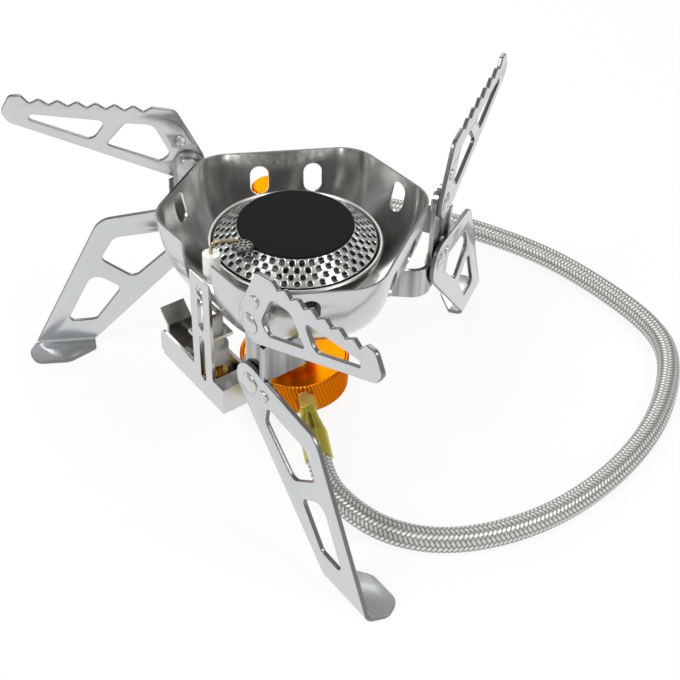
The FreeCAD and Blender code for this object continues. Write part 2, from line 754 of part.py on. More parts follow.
def igniter_lever():
    """Rocking lever with a flared thumb tab and two ears on the pivot pin."""
    p_from = 25.3
    p_to = 34.0
    sheet = IGNITER_SHEET
    profile = [
        (-0.8, 24.4),
        (-0.8, 25.6),
        (-23.9, 25.6),
        (-23.9, 33.5),
        (-28.6, 38.0),
        (-29.3, 37.2),
        (-25.1, 33.0),
        (-25.1, 24.4),
    ]
    strip = upright_plate(profile, [0] * 8, p_from, p_to - p_from)
    u = LEVER_PIVOT_U
    ear_outline = [(u - 3, 25.0), (u + 3, 25.0), (u + 3, 30.6), (u - 3, 30.6)]
    ears = [upright_plate(ear_outline, [0, 0, 2.0, 2.0], start, sheet) for start in (p_from, p_to - sheet)]
    lever = strip.fuse(ears).removeSplitter()
    hole = pin_along_p(u, LEVER_PIVOT_Z, LEVER_PIN_R + RIVET_FIT, p_from - 1, p_to + 1)
    return turned(lever.cut(hole), PAIR_BEARINGS[2])


def lever_pin():
    pin = pin_along_p(LEVER_PIVOT_U, LEVER_PIVOT_Z, LEVER_PIN_R, IGNITER_NEAR, IGNITER_FAR)
    return turned(pin, PAIR_BEARINGS[2])


def electrode_ceramic():
    stem = post_upright(CERAMIC_U, CERAMIC_P, CERAMIC_STEM_R, PLATE_TOP - 3.4, PLATE_TOP)
    head = post_upright(CERAMIC_U, CERAMIC_P, CERAMIC_R, PLATE_TOP, CERAMIC_TOP)
    return turned(stem.fuse(head).removeSplitter(), PAIR_BEARINGS[2])


def electrode_wire():
    """Wire that rises from the ceramic and runs level to a point over the target."""
    radius = 0.6
    rise = 1.3
    base = vec(CERAMIC_U, -CERAMIC_P, CERAMIC_TOP)
    bend = base + vec(0, 0, rise)
    tip = vec(TARGET_U, -(TARGET_P + 2.0), bend.z)
    stem = Part.makeCylinder(radius, rise, base)
    knuckle = Part.makeSphere(radius, bend)
    run = Part.makeCylinder(radius, (tip - bend).Length, bend, tip - bend)
    return turned(stem.fuse([knuckle, run]).removeSplitter(), PAIR_BEARINGS[2])


def spark_target():
    """Small perforated disc on a stem that stands on the flame screen."""
    disc_r = 3.3
    disc = spun([(0.0, 0.0), (disc_r, 0.0), (disc_r, 0.4), (disc_r - 0.6, 0.8), (0.0, 0.8)])
    holes = []
    for ring_r, count in ((0.95, 4), (2.2, 9)):
        for i in range(count):
            bearing = 2 * math.pi * i / count
            place = vec(ring_r * math.cos(bearing), ring_r * math.sin(bearing), -1)
            holes.append(drill(place, 0.45, 3))
    target = disc.cut(holes)
    target.translate(vec(TARGET_U, -TARGET_P, TARGET_LOW))
    stem = post_upright(TARGET_U, TARGET_P, 0.5, TARGET_LOW - 4.5, TARGET_LOW + 0.4)
    return turned(target.fuse(stem).removeSplitter(), PAIR_BEARINGS[2])


def save(name, shape):
    shape.exportStep("parts/" + name + ".step")


def main():
    os.makedirs("parts", exist_ok=True)
    solid_bowl = bowl_body(0.0)
    arm = pot_arm()
    leg = folding_leg()
    for number, bearing in enumerate(PAIR_BEARINGS, 1):
        save("pot_arm_%d" % number, turned(arm, bearing))
        save("folding_leg_%d" % number, turned(leg, bearing))
        save("leg_bracket_%d" % number, leg_bracket(bearing, solid_bowl))
    save("arm_rivets", Part.makeCompound([turned(rivet(*ARM_RIVET), b) for b in PAIR_BEARINGS]))
    save("leg_rivets", Part.makeCompound([turned(rivet(*LEG_RIVET), b) for b in PAIR_BEARINGS]))
    target = spark_target()
    save("windshield_bowl", windshield_bowl())
    save("burner_pan", burner_pan())
    save("flame_screen", flame_screen().cut(target))
    save("burner_cap", burner_cap())
    save("spark_target", target)
    save("mixer_tube", mixer_tube())
    save("jet_holder", jet_holder())
    save("air_collar", air_collar())
    save("inlet_nut", inlet_nut())
    save("hose_ferrule", hose_ferrule())
    save("hose", hose())
    save("valve_ferrule", valve_ferrule())
    save("valve_body", valve_body())
    save("canister_collar", canister_collar())
    save("collar_seal", collar_seal())
    save("valve_knob", valve_knob())
    save("igniter_bracket", igniter_bracket(solid_bowl))
    save("piezo_body", piezo_body())
    save("piezo_plunger", piezo_plunger())
    save("igniter_lever", igniter_lever())
    save("lever_pin", lever_pin())
    save("electrode_ceramic", electrode_ceramic())
    save("electrode_wire", electrode_wire())


main()
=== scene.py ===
import math

import bmesh
import bpy
from mathutils import Matrix, Vector


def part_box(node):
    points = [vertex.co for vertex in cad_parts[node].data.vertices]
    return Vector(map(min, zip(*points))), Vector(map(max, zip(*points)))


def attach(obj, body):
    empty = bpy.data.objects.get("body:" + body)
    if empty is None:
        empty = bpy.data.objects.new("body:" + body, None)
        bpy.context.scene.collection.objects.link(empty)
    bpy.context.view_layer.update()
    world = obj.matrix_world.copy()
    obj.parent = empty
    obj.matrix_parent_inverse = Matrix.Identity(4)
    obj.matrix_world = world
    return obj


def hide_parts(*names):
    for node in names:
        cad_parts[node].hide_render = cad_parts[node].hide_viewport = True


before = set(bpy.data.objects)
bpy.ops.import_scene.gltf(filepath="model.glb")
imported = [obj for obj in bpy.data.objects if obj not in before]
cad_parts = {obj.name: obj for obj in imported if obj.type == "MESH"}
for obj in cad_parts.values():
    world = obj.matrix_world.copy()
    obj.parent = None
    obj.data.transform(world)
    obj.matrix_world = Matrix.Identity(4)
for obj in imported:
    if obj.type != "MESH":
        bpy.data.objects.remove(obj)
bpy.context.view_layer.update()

MM = 0.001
SHARP_ANGLE = 30
MERGE_DISTANCE = 0.001 * MM

# Camera of the photograph, in the frame of the part
CAMERA_BEARING = -95.909
CAMERA_DISTANCE = 318.3 * MM
CAMERA_HEIGHT = 295.8 * MM
CAMERA_YAW = 2.736
CAMERA_PITCH = 40.123
CAMERA_ROLL = 2.264
CAMERA_LENS = 65.65

# Hose: its route repeats the route of the solid, in millimetres
HOSE_ROUTE = (
    (4.2, -39.3, 9.5),
    (5.07, -46.74, 6.7),
    (11.4, -56.4, 4.7),
    (21.6, -66.6, 4.1),
    (37.0, -72.6, 4.1),
    (57.0, -71.6, 4.1),
    (79.7, -63.7, 4.1),
    (104.2, -47.0, 4.1),
    (124.0, -25.0, 4.1),
    (137.2, 1.9, 4.1),
    (137.7, 21.3, 4.1),
    (125.8, 45.9, 4.1),
    (108.3, 68.8, 4.9),
    (84.4, 82.3, 8.6),
    (56.0, 91.8, 13.6),
    (36.8, 94.87, 16.6),
    (16.91, 92.78, 16.6),
)
HOSE_DIAMETER = 8.0 * MM
HOSE_SIDES = 40
HOSE_STEP = 1.2 * MM
BRAID_STRANDS = 12
BRAID_PITCH = 1.5 * MM
BRAID_WIRES = 4
BRAID_OVER = 2.0
BRAID_ARCH = 0.75
BRAID_WIRE_RELIEF = 0.06
BRAID_GAP_SHADE = (0.06, 0.06, 0.055)
BRAID_LIGHT = (0.86, 0.86, 0.83)
LINE_RESOLUTION = 24

# Electrode wire: rises from the ceramic, bends over and ends above the target, in millimetres
WIRE_ROUTE = (
    (-26.94, -16.94, 76.8),
    (-26.94, -16.94, 80.6),
    (-24.6, -15.9, 80.5),
    (-18.7, -13.1, 78.5),
)
WIRE_DIAMETER = 1.1 * MM

# Plates of the arms and legs: corners (u, z, radius) in millimetres, in the frame of a pair,
# with u outward along the plate. The foot of a leg is drawn flat, below z = 0, and then folded.
PAIR_BEARINGS = (180, 60, -60)
PLATE_MIDDLE = 38.1 * MM
PLATE_THICK = 1.4 * MM
PLATE_BEVEL = 0.15 * MM
CORNER_STEPS = 6
TOOTH_COUNT = 7
TOOTH_PITCH = 5.87
TOOTH_DEPTH = 1.9
TOOTH_FIRST = (43.9, 94.8)
TOOTH_SLOPE = 0.125
TOOTH_R = 0.9
ARM_ROOT = (19.15, 61.5, 6.5)
ARM_TIP = ((87.8, 92.4, 3.5), (89.8, 96.2, 2.0), (86.6, 101.6, 2.0), (82.9, 101.5, 0.9))
ARM_KNEE = (35.1, 94.2, 4.0)
ARM_INNER_WINDOW = (
    (51.4, 90.5, 2.2),
    (42.6, 89.5, 4.0),
    (37.5, 78.4, 2.4),
    (41.0, 75.5, 2.4),
    (58.2, 82.8, 1.0),
)
ARM_OUTER_WINDOW = ((57.2, 91.5, 1.6), (80.6, 95.0, 0.8), (81.6, 93.0, 0.8), (62.3, 84.6, 3.0))
ARM_RIVET = (32.0, 74.2)
ARM_DIMPLE = (34.3, 83.3)
LEG_ROOT = (11.3, 60.7, 7.3)
LEG_KNEE = (63.5, 53.3, 8.0)
LEG_FOOT = (
    (69.4, 1.5, 0.5),
    (68.8, -3.4, 1.2),
    (78.0, -10.0, 6.0),
    (89.8, -10.0, 4.0),
    (92.6, -4.5, 4.0),
    (90.6, 0.5, 1.5),
)
LEG_UPPER_WINDOW = (
    (40.2, 47.9, 2.0),
    (59.0, 46.0, 4.0),
    (64.2, 37.0, 2.4),
    (53.2, 28.4, 3.2),
    (39.2, 41.2, 2.5),
)
LEG_LOWER_WINDOW = ((67.6, 31.4, 4.0), (57.7, 24.6, 2.4), (68.0, 10.6, 2.4), (78.4, 10.2, 1.8))
LEG_RIVET = (31.4, 51.2)
LEG_DIMPLE = (38.3, 50.9)
RIVET_HOLE_R = 2.1
DIMPLE_R = 1.9
DIMPLE_HIGH = 0.8 * MM
CIRCLE_SIDES = 20
DIMPLE_RINGS = 4
FLAT_LIMIT = 0.99
FOOT_BEND_R = 1.8 * MM
FOOT_BEND_CUTS = 6

# Rivets, in millimetres: distances along the axis are counted outward from the axis of the stove
RIVET_SHAFT_R = 2.0
RIVET_INNER_R = 3.6
RIVET_INNER_FROM = 34.5
RIVET_INNER_TO = 35.5
RIVET_SEAT = 38.85
RIVET_HEAD_R = 3.4
RIVET_HEAD_HIGH = 1.4
RIVET_DOME_STEPS = 6
RIVET_SIDES = 32

# Bowl: streaks inside it, in waves per metre, and its cut rim darkened with painted shade
BOWL_STREAKS = 150.0
BOWL_STREAK_STRETCH = (1, 1, 0.1)
BOWL_STREAK_RANGE = (0.35, 0.65)
BOWL_STREAK_DARK = (0.74, 0.74, 0.725)
BOWL_STREAK_LIGHT = (1.25, 1.25, 1.23)
BOWL_RIM_HIGH = 1.0 * MM
BOWL_RIM_PAINTED_SHADE = (0.1, 0.1, 0.1)
LOOKS_UP = 0.6

# Holes of the flame screen
HOLE_FIRST_ROW = 19.4 * MM
HOLE_ROW_STEP = 1.8 * MM
HOLE_ROWS = 4
HOLES_PER_ROW = 40
HOLE_RADIUS = 0.85 * MM
HOLE_RIM = 1.2 * MM

# Knurls
COLLAR_KNURLS = 92
CANISTER_KNURLS = 90
KNOB_KNURLS = 60
KNURL_SLANT = 0.3
KNURL_SHARES = (0.9, 0.1)
KNURL_BAND = 0.4 * MM
KNURL_GROOVE_SHADE = 0.62
TURNING_WAVES = 9000.0
TURNING_HEIGHT = 0.10

# Anodised parts
ORANGE = (0.66, 0.175, 0.004)
ORANGE_ROUGH = 0.24

# Stage
FLOOR_SIZE = 6
FLOOR_LEVEL = -0.05 * MM
FLOOR_GLOW = 0.88
LIGHT_TARGET = (0, 0, 0.05)


# Materials

def new_material(name):
    material = bpy.data.materials.new(name)
    material.use_nodes = True
    return material, material.node_tree, material.node_tree.nodes["Principled BSDF"]


def math_node(tree, operation, first, second=None):
    """Math node; an input is a number or the output socket of another node."""
    node = tree.nodes.new("ShaderNodeMath")
    node.operation = operation
    for i, value in enumerate((first, second)):
        if value is None:
            continue
        if isinstance(value, (int, float)):
            node.inputs[i].default_value = value
        else:
            tree.links.new(value, node.inputs[i])
    return node.outputs[0]


def split_vector(tree, vector):
    """Components of a vector."""
    axes = tree.nodes.new("ShaderNodeSeparateXYZ")
    tree.links.new(vector, axes.inputs["Vector"])
    return axes.outputs


def place_axes(tree):
    """Components of a place in the coordinates of the part."""
    return split_vector(tree, tree.nodes.new("ShaderNodeTexCoord").outputs["Object"])


def facing_axes(tree):
    """Components of the direction that a face looks in."""
    return split_vector(tree, tree.nodes.new("ShaderNodeNewGeometry").outputs["True Normal"])


def length_of(tree, first, second):
    """Length of the slope over two distances at right angles."""
    square = math_node(tree, "MULTIPLY", first, first)
    other = math_node(tree, "MULTIPLY", second, second)
    return math_node(tree, "SQRT", math_node(tree, "ADD", square, other))


def noise_node(tree, scale, stretch=(1, 1, 1), detail=3.0):
    """Noise in the coordinates of the part, scaled in waves per metre."""
    place = tree.nodes.new("ShaderNodeTexCoord")
    mapping = tree.nodes.new("ShaderNodeMapping")
    mapping.inputs["Scale"].default_value = stretch
    tree.links.new(place.outputs["Object"], mapping.inputs["Vector"])
    noise = tree.nodes.new("ShaderNodeTexNoise")
    noise.inputs["Scale"].default_value = scale
    noise.inputs["Detail"].default_value = detail
    tree.links.new(mapping.outputs["Vector"], noise.inputs["Vector"])
    return noise.outputs["Fac"]


def spread(tree, value, low, high):
    """Maps a 0 to 1 value to a range."""
    node = tree.nodes.new("ShaderNodeMapRange")
    node.inputs["To Min"].default_value = low
    node.inputs["To Max"].default_value = high
    tree.links.new(value, node.inputs["Value"])
    return node.outputs["Result"]


def blend_colours(tree, value, dark, light, low=0.0, high=1.0):
    """Colour that goes from dark to light as the value goes from low to high."""
    ramp = tree.nodes.new("ShaderNodeValToRGB")
    ramp.color_ramp.elements[0].position = low
    ramp.color_ramp.elements[1].position = high
    ramp.color_ramp.elements[0].color = (*dark, 1)
    ramp.color_ramp.elements[1].color = (*light, 1)
    tree.links.new(value, ramp.inputs["Fac"])
    return ramp.outputs["Color"]


def bump(tree, shader, height, strength, distance, edge=0.0):
    """Bump on the shader, with edges rounded by the given radius."""
    node = tree.nodes.new("ShaderNodeBump")
    node.inputs["Strength"].default_value = strength
    node.inputs["Distance"].default_value = distance
    tree.links.new(height, node.inputs["Height"])
    if edge:
        rounded = tree.nodes.new("ShaderNodeBevel")
        rounded.samples = 6
        rounded.inputs["Radius"].default_value = edge
        tree.links.new(rounded.outputs["Normal"], node.inputs["Normal"])
    tree.links.new(node.outputs["Normal"], shader.inputs["Normal"])


def sheet_metal(name, colour, rough, grain=900.0, stretch=(1, 1, 1), depth=0.05, edge=0.3 * MM,
                clouds=45.0, cloud_stretch=(1, 1, 1), cloud_dark=0.90, cloud_range=(0.0, 1.0), metal=1.0):
    """Metal with faint grain in its gloss, broad clouds in its tone and soft edges."""
    material, tree, shader = new_material(name)
    shader.inputs["Metallic"].default_value = metal
    fine = noise_node(tree, grain, stretch)
    broad = noise_node(tree, clouds, cloud_stretch, 2.0)
    dark = tuple(cloud_dark * c for c in colour)
    tone = blend_colours(tree, broad, dark, colour, *cloud_range)
    tree.links.new(tone, shader.inputs["Base Color"])
    tree.links.new(spread(tree, fine, 0.75 * rough, 1.25 * rough), shader.inputs["Roughness"])
    bump(tree, shader, fine, depth, 0.05 * MM, edge)
    return material


def tone_node(material, mask):
    """Node that multiplies the colour of a material by its second colour, where the mask is one."""
    tree = material.node_tree
    colour = tree.nodes["Principled BSDF"].inputs["Base Color"]
    before = colour.links[0].from_socket
    mix = tree.nodes.new("ShaderNodeMixRGB")
    mix.blend_type = "MULTIPLY"
    tree.links.new(mask, mix.inputs["Fac"])
    tree.links.new(before, mix.inputs["Color1"])
    tree.links.new(mix.outputs["Color"], colour)
    return mix


def streak_inside(material):
    """Upright streaks on the faces of the bowl that look towards its axis."""
    tree = material.node_tree
    facing = facing_axes(tree)
    place = place_axes(tree)
    along_x = math_node(tree, "MULTIPLY", facing["X"], place["X"])
    along_y = math_node(tree, "MULTIPLY", facing["Y"], place["Y"])
    inside = math_node(tree, "LESS_THAN", math_node(tree, "ADD", along_x, along_y), 0.0)
    streaks = noise_node(tree, BOWL_STREAKS, BOWL_STREAK_STRETCH, 2.0)
    tone = blend_colours(tree, streaks, BOWL_STREAK_DARK, BOWL_STREAK_LIGHT, *BOWL_STREAK_RANGE)
    tree.links.new(tone, tone_node(material, inside).inputs["Color2"])


def paint_rim_shade(material, level):
    """Painted shade on the cut rim of the bowl: darkens the faces that look up and lie above a level, for
    the dark overhead that they reflect.
    """
    tree = material.node_tree
    facing = facing_axes(tree)
    place = place_axes(tree)
    upward = math_node(tree, "GREATER_THAN", facing["Z"], LOOKS_UP)
    high = math_node(tree, "GREATER_THAN", place["Z"], level)
    rim = math_node(tree, "MULTIPLY", upward, high)
    # painted shade: the upward faces of the rim are multiplied by a dark tone
    tone_node(material, rim).inputs["Color2"].default_value = (*BOWL_RIM_PAINTED_SHADE, 1)


def coated(name, colour, rough, grain=700.0, depth=0.08, edge=0.25 * MM, shine=0.5):
    """Plain coated, plastic, rubber or ceramic surface with a fine grain."""
    material, tree, shader = new_material(name)
    shader.inputs["Specular IOR Level"].default_value = shine
    fine = noise_node(tree, grain)
    dark = tuple(0.88 * c for c in colour)
    tree.links.new(blend_colours(tree, fine, dark, colour), shader.inputs["Base Color"])
    tree.links.new(spread(tree, fine, 0.85 * rough, 1.15 * rough), shader.inputs["Roughness"])
    bump(tree, shader, fine, depth, 0.05 * MM, edge)
    return material


def knurled(name, colour, rough, centre, knurls, side_radius):
    """Turned and anodised metal: slanted knurl on the side, with painted shade in its grooves, and turning
    rings on flat faces.
    """
    material, tree, shader = new_material(name)
    shader.inputs["Metallic"].default_value = 1.0
    shader.inputs["Specular Tint"].default_value = (1.0, 0.5, 0.1, 1)
    place = tree.nodes.new("ShaderNodeTexCoord")
    shift = tree.nodes.new("ShaderNodeMapping")
    shift.inputs["Location"].default_value = (-centre[0], -centre[1], 0)
    tree.links.new(place.outputs["Object"], shift.inputs["Vector"])
    x, y, z = split_vector(tree, shift.outputs["Vector"])
    angle = math_node(tree, "ARCTAN2", y, x)
    around = math_node(tree, "MULTIPLY", angle, knurls)
    along = math_node(tree, "MULTIPLY", z, KNURL_SLANT * knurls / side_radius)
    one = math_node(tree, "SINE", math_node(tree, "ADD", around, along))
    other = math_node(tree, "SINE", math_node(tree, "SUBTRACT", around, along))
    strong = math_node(tree, "MULTIPLY", one, KNURL_SHARES[0])
    weak = math_node(tree, "MULTIPLY", other, KNURL_SHARES[1])
    diamonds = math_node(tree, "ADD", strong, weak)
    radius = length_of(tree, x, y)
    on_side = math_node(tree, "GREATER_THAN", radius, side_radius - KNURL_BAND)
    rings = math_node(tree, "SINE", math_node(tree, "MULTIPLY", radius, TURNING_WAVES))
    knurl = math_node(tree, "MULTIPLY", diamonds, on_side)
    off_side = math_node(tree, "SUBTRACT", 1.0, on_side)
    turned = math_node(tree, "MULTIPLY", rings, math_node(tree, "MULTIPLY", off_side, TURNING_HEIGHT))
    height = math_node(tree, "ADD", knurl, turned)
    shader.inputs["Roughness"].default_value = rough
    # painted shade: the knurl grooves take a darker copy of the colour
    groove_shade = tuple(KNURL_GROOVE_SHADE * c for c in colour)
    ridge = math_node(tree, "ADD", math_node(tree, "MULTIPLY", knurl, 0.5), 0.5)
    ridge = math_node(tree, "MAXIMUM", ridge, off_side)
    tree.links.new(blend_colours(tree, ridge, groove_shade, colour), shader.inputs["Base Color"])
    bump(tree, shader, height, strength=0.45, distance=0.22 * MM, edge=0.2 * MM)
    return material


def hole_distance(tree):
    """Distance from the middle of the nearest hole of the flame screen."""
    place = place_axes(tree)
    radius = length_of(tree, place["X"], place["Y"])
    beyond = math_node(tree, "DIVIDE", math_node(tree, "SUBTRACT", radius, HOLE_FIRST_ROW), HOLE_ROW_STEP)
    row = math_node(tree, "MAXIMUM", math_node(tree, "ROUND", beyond), 0.0)
    row = math_node(tree, "MINIMUM", row, HOLE_ROWS - 1)
    out = math_node(tree, "MULTIPLY", math_node(tree, "SUBTRACT", beyond, row), HOLE_ROW_STEP)
    pitch = 2 * math.pi / HOLES_PER_ROW
    turn = math_node(tree, "DIVIDE", math_node(tree, "ARCTAN2", place["Y"], place["X"]), pitch)
    shift = math_node(tree, "MULTIPLY", math_node(tree, "MODULO", row, 2.0), 0.5)
    nearest = math_node(tree, "FRACT", math_node(tree, "ADD", math_node(tree, "ADD", turn, shift), 0.5))
    spacing = math_node(tree, "MULTIPLY", radius, pitch)
    side = math_node(tree, "MULTIPLY", math_node(tree, "SUBTRACT", nearest, 0.5), spacing)
    return length_of(tree, out, side)


def perforated(name, colour, rough):
    """Pressed sheet metal whose surface dips towards every hole of the flame screen, with painted shade
    darkening each dip.
    """
    material, tree, shader = new_material(name)
    shader.inputs["Metallic"].default_value = 1.0
    dip = tree.nodes.new("ShaderNodeMapRange")
    dip.interpolation_type = "SMOOTHSTEP"
    dip.inputs["From Min"].default_value = HOLE_RADIUS * 0.8
    dip.inputs["From Max"].default_value = HOLE_RIM
    tree.links.new(hole_distance(tree), dip.inputs["Value"])
    height = dip.outputs["Result"]
    # painted shade: the colour darkens into the dip round each hole
    dark = tuple(0.8 * c for c in colour)
    tree.links.new(blend_colours(tree, height, dark, colour), shader.inputs["Base Color"])
    fine = noise_node(tree, 400.0)
    tree.links.new(spread(tree, fine, 0.8 * rough, 1.2 * rough), shader.inputs["Roughness"])
    bump(tree, shader, height, strength=0.8, distance=0.4 * MM, edge=0.12 * MM)
    return material


def braid_material():
    """Woven wire braid: strands of fine wires that each pass over two others and under two."""
    material, tree, shader = new_material("hose_braid")
    shader.inputs["Metallic"].default_value = 1.0
    uv = tree.nodes.new("ShaderNodeUVMap")
    uv.uv_map = "route"
    route = split_vector(tree, uv.outputs["UV"])
    around = math_node(tree, "MULTIPLY", route["X"], BRAID_STRANDS)
    along = math_node(tree, "DIVIDE", route["Y"], BRAID_PITCH)
    right = math_node(tree, "ADD", around, along)
    left = math_node(tree, "SUBTRACT", around, along)
    right_cell = math_node(tree, "ADD", math_node(tree, "FLOOR", right), left)
    left_cell = math_node(tree, "ADD", math_node(tree, "FLOOR", left), right)
    along_right = math_node(tree, "FLOORED_MODULO", right_cell, 2 * BRAID_OVER)
    along_left = math_node(tree, "FLOORED_MODULO", left_cell, 2 * BRAID_OVER)
    left_is_over = math_node(tree, "GREATER_THAN", along_right, BRAID_OVER)
    float_right = math_node(tree, "MULTIPLY", along_right, 1 / BRAID_OVER)
    float_left = math_node(tree, "SUBTRACT", math_node(tree, "MULTIPLY", along_left, 1 / BRAID_OVER), 1.0)

    def choose(when_right, when_left):
        step = math_node(tree, "SUBTRACT", when_left, when_right)
        return math_node(tree, "ADD", when_right, math_node(tree, "MULTIPLY", step, left_is_over))

    def arch(value, fall):
        """One in the middle of a cell, lower by fall at its edges."""
        offset = math_node(tree, "SUBTRACT", math_node(tree, "MULTIPLY", value, 2.0), 1.0)
        square = math_node(tree, "MULTIPLY", offset, offset)
        return math_node(tree, "SUBTRACT", 1.0, math_node(tree, "MULTIPLY", square, fall))

    across = choose(math_node(tree, "FRACT", right), math_node(tree, "FRACT", left))
    along_float = choose(float_right, float_left)
    height = math_node(tree, "MULTIPLY", arch(across, BRAID_ARCH), arch(along_float, BRAID_ARCH))
    wires = math_node(tree, "COSINE", math_node(tree, "MULTIPLY", across, 2 * math.pi * BRAID_WIRES))
    relief = math_node(tree, "ADD", height, math_node(tree, "MULTIPLY", wires, BRAID_WIRE_RELIEF))
    # painted shade: the colour darkens from the crown of each strand towards the gaps between strands
    colour = blend_colours(tree, height, BRAID_GAP_SHADE, BRAID_LIGHT)
    tree.links.new(colour, shader.inputs["Base Color"])
    tree.links.new(spread(tree, height, 0.55, 0.4), shader.inputs["Roughness"])
    bump(tree, shader, relief, strength=0.6, distance=0.2 * MM)
    return material


# Steps that several pieces share

def add_object(name, data):
    """New object in the scene."""
    made = bpy.data.objects.new(name, data)
    bpy.context.scene.collection.objects.link(made)
    return made


def paint(material, *nodes):
    """Gives one material to solids of the part."""
    for name in nodes:
        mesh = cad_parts[name].data
        mesh.materials.clear()
        mesh.materials.append(material)


def smooth_line(name, route):
    """Curve object with one smooth spline along a route."""
    curve = bpy.data.curves.new(name, "CURVE")
    curve.dimensions = "3D"
    curve.resolution_u = LINE_RESOLUTION
    spline = curve.splines.new("NURBS")
    spline.points.add(len(route) - 1)
    for point, place in zip(spline.points, route):
        point.co = (*(MM * c for c in place), 1)
    spline.order_u = 3
    spline.use_endpoint_u = True
    return add_object(name, curve)


# Hose

def hose_points():
    """Points along the smooth line of the hose, read from its spline."""
    holder = smooth_line("hose_line", HOSE_ROUTE)
    bpy.context.view_layer.update()
    mesh = bpy.data.meshes.new_from_object(holder)
    points = [v.co.copy() for v in mesh.vertices]
    bpy.data.objects.remove(holder)
    return points


def even_points(points, step):
    """The same line with points at equal distances."""
    lengths = [0.0]
    for a, b in zip(points, points[1:]):
        lengths.append(lengths[-1] + (b - a).length)
    count = round(lengths[-1] / step)
    made = []
    i = 0
    for n in range(count + 1):
        target = lengths[-1] * n / count
        while i < len(points) - 2 and lengths[i + 1] < target:
            i += 1
        share = (target - lengths[i]) / max(lengths[i + 1] - lengths[i], 1e-9)
        made.append(points[i].lerp(points[i + 1], share))
    return made, lengths[-1]


def tube_mesh(name, points):
    """Smooth round tube with a ring of corners at each point."""
    vertices = []
    side = Vector((0, 0, 1))
    for i, point in enumerate(points):
        heading = (points[min(i + 1, len(points) - 1)] - points[max(i - 1, 0)]).normalized()
        side = (side - heading * side.dot(heading)).normalized()
        other = heading.cross(side)
        for k in range(HOSE_SIDES):
            angle = 2 * math.pi * k / HOSE_SIDES
            vertices.append(point + (side * math.cos(angle) + other * math.sin(angle)) * HOSE_DIAMETER / 2)
    faces = []
    for i in range(len(points) - 1):
        for k in range(HOSE_SIDES):
            after = (k + 1) % HOSE_SIDES
            low = i * HOSE_SIDES
            high = low + HOSE_SIDES
            faces.append((low + k, low + after, high + after, high + k))
    mesh = bpy.data.meshes.new(name)
    mesh.from_pydata(vertices, [], faces)
    for face in mesh.polygons:
        face.use_smooth = True
    return mesh


def map_route(mesh, step):
    """Coordinates for the weave: the share of a turn round the hose, and the metres along it."""
    layer = mesh.uv_layers.new(name="route")
    for n, face in enumerate(mesh.polygons):
        ring, k = divmod(n, HOSE_SIDES)
        corners = ((k, ring), (k + 1, ring), (k + 1, ring + 1), (k, ring + 1))
        for loop, (turn, row) in zip(face.loop_indices, corners):
            layer.data[loop].uv = (turn / HOSE_SIDES, row * step)


def make_hose():
    points, length = even_points(hose_points(), HOSE_STEP)
    mesh = tube_mesh("braided_hose", points)
    map_route(mesh, length / (len(points) - 1))
    mesh.materials.append(braid_material())
    hose = add_object("braided_hose", mesh)
    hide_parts("hose")
    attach(hose, "stove")


# Electrode wire

def make_wire():
    wire = smooth_line("spark_wire", WIRE_ROUTE)
    wire.data.bevel_depth = WIRE_DIAMETER / 2
    wire.data.use_fill_caps = True
    wire.data.materials.append(sheet_metal("electrode_wire", (0.45, 0.39, 0.22), 0.25, depth=0.01))
    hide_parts("electrode_wire")
    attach(wire, "stove")


# Plates of the arms and legs

def rounded(corners):
    """Closed outline through (u, z, radius) corners, in metres, with an arc at each corner."""
    outline = []
    for i, (u, z, radius) in enumerate(corners):
        corner = Vector((u, z))
        back = (Vector(corners[i - 1][:2]) - corner).normalized()
        ahead = (Vector(corners[(i + 1) % len(corners)][:2]) - corner).normalized()
        half = back.angle(ahead) / 2
        centre = corner + (back + ahead).normalized() * radius / math.sin(half)
        start = corner + back * radius / math.tan(half) - centre
        turn = start.angle_signed(corner + ahead * radius / math.tan(half) - centre)
        for step in range(CORNER_STEPS + 1):
            outline.append(MM * (centre + Matrix.Rotation(-turn * step / CORNER_STEPS, 2) @ start))
    return outline


def circle(middle, radius):
    """Outline of a round opening, in metres."""
    outline = []
    for i in range(CIRCLE_SIDES):
        angle = 2 * math.pi * i / CIRCLE_SIDES
        u = middle[0] + radius * math.cos(angle)
        z = middle[1] + radius * math.sin(angle)
        outline.append(MM * Vector((u, z)))
    return outline


def serrated_edge():
    """Corners of the toothed top edge from the tip to the root."""
    corners = []
    for tooth in reversed(range(TOOTH_COUNT)):
        for shift, rise in ((0.25, -0.5), (-0.25, 0.5)):
            beyond = (tooth + shift) * TOOTH_PITCH
            z = TOOTH_FIRST[1] + TOOTH_SLOPE * beyond + rise * TOOTH_DEPTH
            corners.append((TOOTH_FIRST[0] + beyond, z, TOOTH_R))
    return corners


def flat_plate(name, outlines):
    """Plate with bevelled edges in the flat, its outline first and then its openings."""
    curve = bpy.data.curves.new(name, "CURVE")
    curve.dimensions = "2D"
    curve.fill_mode = "BOTH"
    curve.extrude = PLATE_THICK / 2 - PLATE_BEVEL
    curve.bevel_depth = PLATE_BEVEL
    curve.bevel_resolution = 1
    curve.offset = -PLATE_BEVEL
    for outline in outlines:
        spline = curve.splines.new("POLY")
        spline.points.add(len(outline) - 1)
        spline.use_cyclic_u = True
        for point, place in zip(spline.points, outline):
            point.co = (*place, 0, 1)
    holder = add_object(name, curve)
    bpy.context.view_layer.update()
    mesh = bpy.data.meshes.new_from_object(holder)
    bpy.data.objects.remove(holder)
    return mesh


